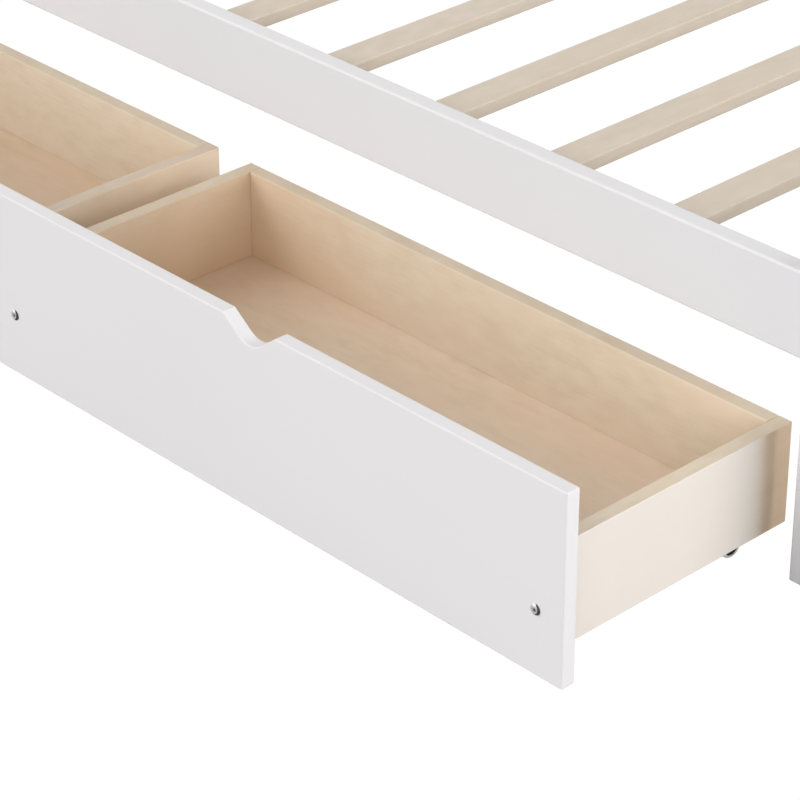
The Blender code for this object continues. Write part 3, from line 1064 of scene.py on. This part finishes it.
# --- Drawers ---
@dataclass
class Castor:
    """A fixed castor: a plate, a bent fork, a riveted axle, and a wheel with its hub."""

    name: str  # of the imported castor, without _fork or _wheel
    drawer: str
    sheet: float = 0.0015
    play: float = 0.0008
    plate_corner: float = 0.004
    fork_reach: float = 0.012  # half of the fork's length at the plate
    fork_tip: float = 0.006  # radius of a cheek round the axle
    axle: float = 0.0020
    bend: float = 0.0025  # radius of the fork's two bends
    rows: tuple[float, ...] = (0.0, 0.03, 0.1, 0.2, 0.35, 0.5, 0.65, 0.8, 0.9, 1.0)  # up a cheek
    columns: int = 12  # across it
    rivet: float = 0.0034
    rivet_rise: float = 0.0009
    tyre: float = 0.0034  # how thick the tyre is
    shoulder: float = 0.0030  # radius of its edges
    dish: float = 0.0030  # how deep the hub's sides are
    corner_steps: int = 6
    screw_inset: tuple[float, float] = (0.0031, 0.0051)  # from the plate's sides and ends
    screw: WoodScrew = WoodScrew(0.0024, 0.0010, 0.0012, 0.004)

    def build(self) -> None:
        """Builds the castor in place of its packed fork and wheel."""
        self.fork_block = Block.of(f"{self.name}_fork")
        self.wheel_block = Block.of(f"{self.name}_wheel")
        self.middle = self.wheel_block.centre
        for piece in (self.plate(), self.fork(), self.axle_rivet(), self.screws()):
            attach(piece, self.drawer)
        for piece in (self.tyre_piece(), self.hub()):
            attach(piece, f"{self.name}_wheel")

    @property
    def half_width(self) -> float:
        """Half of the wheel's width."""
        return self.wheel_block.size.x / 2

    def plate(self) -> bpy.types.Object:
        """The plate that is screwed under the drawer.

        Returns:
            The object.
        """
        reach = self.fork_block.size / 2 - Vector((1, 1, 1)) * self.plate_corner
        outline = []
        for quarter, (sx, sy) in enumerate(((1, 1), (-1, 1), (-1, -1), (1, -1))):
            for step in range(self.corner_steps + 1):
                angle = math.pi / 2 * (quarter + step / self.corner_steps)
                x = sx * reach.x + self.plate_corner * math.cos(angle)
                y = sy * reach.y + self.plate_corner * math.sin(angle)
                outline.append((self.middle.x + x, self.middle.y + y, self.fork_block.high.z))
        shape = bmesh.new()
        face = shape.faces.new([shape.verts.new(point) for point in outline])
        swept = bmesh.ops.extrude_face_region(shape, geom=[face])
        moved = [item for item in swept["geom"] if isinstance(item, bmesh.types.BMVert)]
        bmesh.ops.translate(shape, verts=moved, vec=(0, 0, -self.sheet))
        piece = mesh_piece(f"{self.name}_plate", shape, BLACK_PAINT)
        soften(piece, 0.0003)
        return piece

    def fork(self) -> bpy.types.Object:
        """The fork: one sheet bent down on both sides of the wheel, rounded at the axle.

        Returns:
            The object.
        """
        cheek = self.half_width + self.play + self.sheet / 2
        top = self.fork_block.high.z - 1.5 * self.sheet - 0.0001
        down = top - self.bend
        rows: list[tuple[float, float]] = []
        lowest = self.middle.z - self.fork_tip
        for share in self.rows:
            rows.append((-cheek, lowest + (down - lowest) * share))
        for step in range(1, 5):
            angle = math.pi / 2 * step / 4
            inwards = self.bend * (1 - math.cos(angle))
            rows.append((-cheek + inwards, down + self.bend * math.sin(angle)))
        rows += [(-x, z) for x, z in reversed(rows)]
        turns = [math.pi / 2 * (2 * step / self.columns - 1) for step in range(self.columns + 1)]
        shape = bmesh.new()
        grid = []
        for x, z in rows:
            reach = self.reach_at(z, down)
            across = [self.middle.y + reach * math.sin(turn) for turn in turns]
            grid.append([shape.verts.new((self.middle.x + x, y, z)) for y in across])
        for first, second in zip(grid, grid[1:]):
            for step in range(self.columns):
                shape.faces.new((first[step], first[step + 1], second[step + 1], second[step]))
        piece = mesh_piece(f"{self.name}_bent_fork", shape, BLACK_PAINT)
        thick = piece.modifiers.new("sheet", "SOLIDIFY")
        thick.thickness = self.sheet
        thick.offset = 0.0
        thick.use_even_offset = True
        soften(piece, 0.0003)
        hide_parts(f"{self.name}_fork")
        return piece

    def reach_at(self, z: float, down: float) -> float:
        """Half of the fork's length at a height.

        Args:
            z: The height.
            down: Where the bend to the plate starts.

        Returns:
            The half length.
        """
        over = z - self.middle.z
        if over < 0:
            inside = max(0.0, self.fork_tip**2 - over**2)
            return max(0.0008, math.sqrt(inside))
        share = min(1.0, over / (down - self.middle.z))
        return self.fork_tip + (self.fork_reach - self.fork_tip) * share

    def axle_rivet(self) -> bpy.types.Object:
        """The axle, with a rivet head on each side.

        Returns:
            The object.
        """
        side = self.half_width + self.play + self.sheet
        rings = [
            Ring(0, side + self.rivet_rise),
            Ring(self.rivet * 0.55, side + self.rivet_rise * 0.9),
            Ring(self.rivet * 0.9, side + self.rivet_rise * 0.5),
            Ring(self.rivet, side + 0.00005),
            Ring(self.axle, side + 0.00005),
        ]
        rings += [Ring(ring.radius, -ring.height) for ring in reversed(rings)]
        shape = bmesh.new()
        add_turned(shape, rings, 32, aim(self.middle, EAST))
        return mesh_piece(f"{self.name}_axle", shape, ZINC)

    def screws(self) -> bpy.types.Object:
        """The four screws through the plate's corners.

        Returns:
            The object.
        """
        low, high = self.fork_block.low, self.fork_block.high
        inset_x, inset_y = self.screw_inset
        shape = bmesh.new()
        for x in (low.x + inset_x, high.x - inset_x):
            for y in (low.y + inset_y, high.y - inset_y):
                self.screw.add(shape, Vector((x, y, high.z - self.sheet)), -UP)
        return mesh_piece(f"{self.name}_screws", shape, ZINC)

    def tyre_piece(self) -> bpy.types.Object:
        """The grey tyre, with rounded shoulders.

        Returns:
            The object.
        """
        outer = self.wheel_block.size.z / 2
        inner = outer - self.tyre
        half = self.half_width
        rings = [Ring(inner, -half + 0.0012)]
        for step in range(7):
            angle = math.pi / 2 * step / 6
            radius = outer - self.shoulder * (1 - math.sin(angle))
            rings.append(Ring(radius, -half + self.shoulder * (1 - math.cos(angle))))
        rings += [Ring(ring.radius, -ring.height) for ring in reversed(rings)]
        shape = bmesh.new()
        add_turned(shape, rings, 64, aim(self.middle, EAST), closed=True)
        piece = mesh_piece(f"{self.name}_tyre", shape, GREY_TYRE)
        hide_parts(f"{self.name}_wheel")
        return piece

    def hub(self) -> bpy.types.Object:
        """The black hub, dished on both sides, with a boss round the axle.

        Returns:
            The object.
        """
        outer = self.wheel_block.size.z / 2 - self.tyre - 0.00005
        half = self.half_width
        bore = self.axle + 0.0003
        side = [
            Ring(bore, half),
            Ring(bore + 0.0026, half),
            Ring(bore + 0.0031, half - 0.0006),
            Ring(bore + 0.0034, half - self.dish),
            Ring(outer - 0.0020, half - self.dish),
            Ring(outer - 0.0012, half - 0.0012),
            Ring(outer, half - 0.0012),
        ]
        rings = side + [Ring(ring.radius, -ring.height) for ring in reversed(side)]
        shape = bmesh.new()
        add_turned(shape, rings, 48, aim(self.middle, EAST), closed=True)
        return mesh_piece(f"{self.name}_hub", shape, BLACK_HUB)


PLAIN = Pine()
# painted shade in the corners at the drawers' low X end
CORNER_SHADED = Pine(shade_reach=0.34)
# painted light: a lighter copy of the pine for the side board in the shade between the drawers; its
# top faces are darkened back
PALE = Pine(
    (0.93, 0.79, 0.63), (0.86, 0.69, 0.52), (0.92, 0.75, 0.58), face_darkening=0.22, darkened_axis=Axis.Z
)
WARM_BASE = Pine((0.775, 0.620, 0.465), (0.690, 0.520, 0.360), (0.775, 0.580, 0.425))
# with painted shade at its low X end, on its level face too
PALE_BASE = Pine(
    (0.830, 0.690, 0.545), (0.735, 0.575, 0.420), (0.830, 0.645, 0.495), shade_reach=0.34, level=0.0
)
BOX_PINES = {
    "left": {"side_left": CORNER_SHADED, "side_right": PALE, "back": CORNER_SHADED, "bottom": WARM_BASE},
    "right": {"side_left": CORNER_SHADED, "side_right": PLAIN, "back": CORNER_SHADED, "bottom": PALE_BASE},
}
# painted light and shadow on each drawer's outer side
OUTER_SIDE_LIGHTS = {"left": PaintedSideLight(-1), "right": PaintedSideLight(1)}
FIRST_SEEDS = {"left": 20, "right": 30}


@dataclass
class Drawer:
    """A drawer: painted front, pine box, two bolts and four castors."""

    side: str
    paint: WhitePaint = WhitePaint()
    rise: float = 0.0028
    shank: float = 0.0030
    socket: float = 0.0025
    depth: float = 0.0018

    @property
    def body(self) -> str:
        """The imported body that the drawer's pieces ride on."""
        return f"drawer_{self.side}"

    def build(self) -> None:
        """Dresses the boards and builds the bolts and castors."""
        panel = f"{self.body}_front_panel"
        dress(panel, self.paint.make(f"{panel}_paint", Block.of(panel)))
        for seed, (board, pine) in enumerate(BOX_PINES[self.side].items(), FIRST_SEEDS[self.side]):
            node = f"{self.body}_{board}"
            side_light = OUTER_SIDE_LIGHTS[self.side] if board == f"side_{self.side}" else None
            material = pine.make(f"{node}_pine", Block.of(node), seed, side_light)
            dress(node, material)
        for hand in ("left", "right"):
            node = f"{self.body}_bolt_{hand}"
            bolt = DomedBolt(node, Axis.Y, -1, self.rise, self.shank, self.socket, self.depth)
            bolt.build(BrightHead(bolt.seat, bolt.head, bolt.socket), self.body)
        for end in ("front", "back"):
            for hand in ("left", "right"):
                Castor(f"{self.body}_castor_{end}_{hand}", self.body).build()


# --- The studio ---
@dataclass(frozen=True)
class SoftLamp:
    """A wide soft lamp, so far away that it lights every piece alike."""

    name: str
    bearing: float  # degrees from -Y towards +X that it stands at
    height: float  # degrees over the floor
    strength: float
    width: float = 50.0  # degrees across, as the bed sees it

    def build(self) -> None:
        """Makes the lamp."""
        bearing, height = math.radians(self.bearing), math.radians(self.height)
        flat = math.cos(height)
        towards = Vector((math.sin(bearing) * flat, -math.cos(bearing) * flat, math.sin(height)))
        lamp = bpy.data.lights.new(self.name, "SUN")
        lamp.energy = self.strength
        lamp.angle = math.radians(self.width)
        holder = new_object(self.name, lamp)
        holder.rotation_euler = towards.to_track_quat("Z", "Y").to_euler()


@dataclass
class Studio:
    """A plain pale floor, soft white light, and the camera."""

    azimuth: float = math.radians(46.66372)
    elevation: float = math.radians(29.98126)
    roll: float = math.radians(-0.11482)
    eye: Point = (2.75722, -2.62918, 1.88605)
    lens: float = 140.309
    sensor: float = 36.0
    horizon: float = 60.0  # how far the camera sees, in metres
    floor_reach: float = 9.0
    floor_drop: float = 0.0005
    floor_white: float = 1.02
    floor_shade: float = 0.42
    sky: float = 0.47
    lamps: tuple[SoftLamp, ...] = (
        SoftLamp("left_lamp", -45.0, 30.0, 1.66),
        SoftLamp("right_lamp", 45.0, 8.0, 1.84),
        SoftLamp("back_right_lamp", 124.0, 8.0, 2.48),
    )

    def build(self) -> None:
        """Sets up floor, light and camera."""
        self.add_floor()
        self.add_sky()
        for lamp in self.lamps:
            lamp.build()
        self.add_camera()
        log.info("set up the studio")

    def add_floor(self) -> None:
        """Lays the floor just under the posts and wheels."""
        shape = bmesh.new()
        bmesh.ops.create_grid(shape, x_segments=1, y_segments=1, size=self.floor_reach)
        mesh = bpy.data.meshes.new("studio_floor")
        shape.to_mesh(mesh)
        shape.free()
        floor = new_object("studio_floor", mesh)
        floor.location = -UP * self.floor_drop
        graph = Graph("studio_floor_white")
        seen = Value(graph, graph.node("LightPath").outputs["Is Camera Ray"])
        shade, white = (self.floor_shade,) * 3, (self.floor_white,) * 3
        mesh.materials.append(
            graph.surface(
                Base_Color=graph.mix(seen, shade, BLACK),
                Roughness=0.9,
                Specular_IOR_Level=0.0,
                Emission_Color=graph.mix(seen, BLACK, white),
                Emission_Strength=1.0,
            )
        )

    def add_sky(self) -> None:
        """Fills the studio with even white light."""
        world = bpy.data.worlds.new("studio_light")
        bpy.context.scene.world = world
        world.use_nodes = True
        tree = world.node_tree
        background = tree.nodes["Background"]
        background.inputs["Color"].default_value = (1.0, 1.0, 1.0, 1.0)
        seen = tree.nodes.new("ShaderNodeLightPath")
        strength = tree.nodes.new("ShaderNodeMapRange")
        strength.inputs["To Min"].default_value = self.sky
        strength.inputs["To Max"].default_value = self.floor_white
        tree.links.new(seen.outputs["Is Camera Ray"], strength.inputs["Value"])
        tree.links.new(strength.outputs["Result"], background.inputs["Strength"])

    def add_camera(self) -> None:
        """Aims the camera."""
        level = Vector((math.cos(self.azimuth), math.sin(self.azimuth), 0))
        flat = math.cos(self.elevation)
        ahead = Vector((-level.y * flat, level.x * flat, -math.sin(self.elevation)))
        up = level.cross(ahead)
        right = level * math.cos(self.roll) + up * math.sin(self.roll)
        above = up * math.cos(self.roll) - level * math.sin(self.roll)
        lens = bpy.data.cameras.new("camera")
        lens.lens = self.lens
        lens.sensor_width = self.sensor
        lens.clip_end = self.horizon
        camera = new_object("camera", lens)
        turn = Matrix((right, above, -ahead)).transposed()
        camera.matrix_world = Matrix.Translation(self.eye) @ turn.to_4x4()
        bpy.context.scene.camera = camera
        bpy.context.scene.view_settings.view_transform = "Standard"


def main() -> None:
    """Builds everything in order."""
    logging.basicConfig(level=logging.INFO, format="%(message)s")
    PaintedFrame().build()
    SlatDeck().build()
    BedBolts().build()
    for side in ("left", "right"):
        Drawer(side).build()
    Studio().build()


if __name__ == "__main__":
    main()
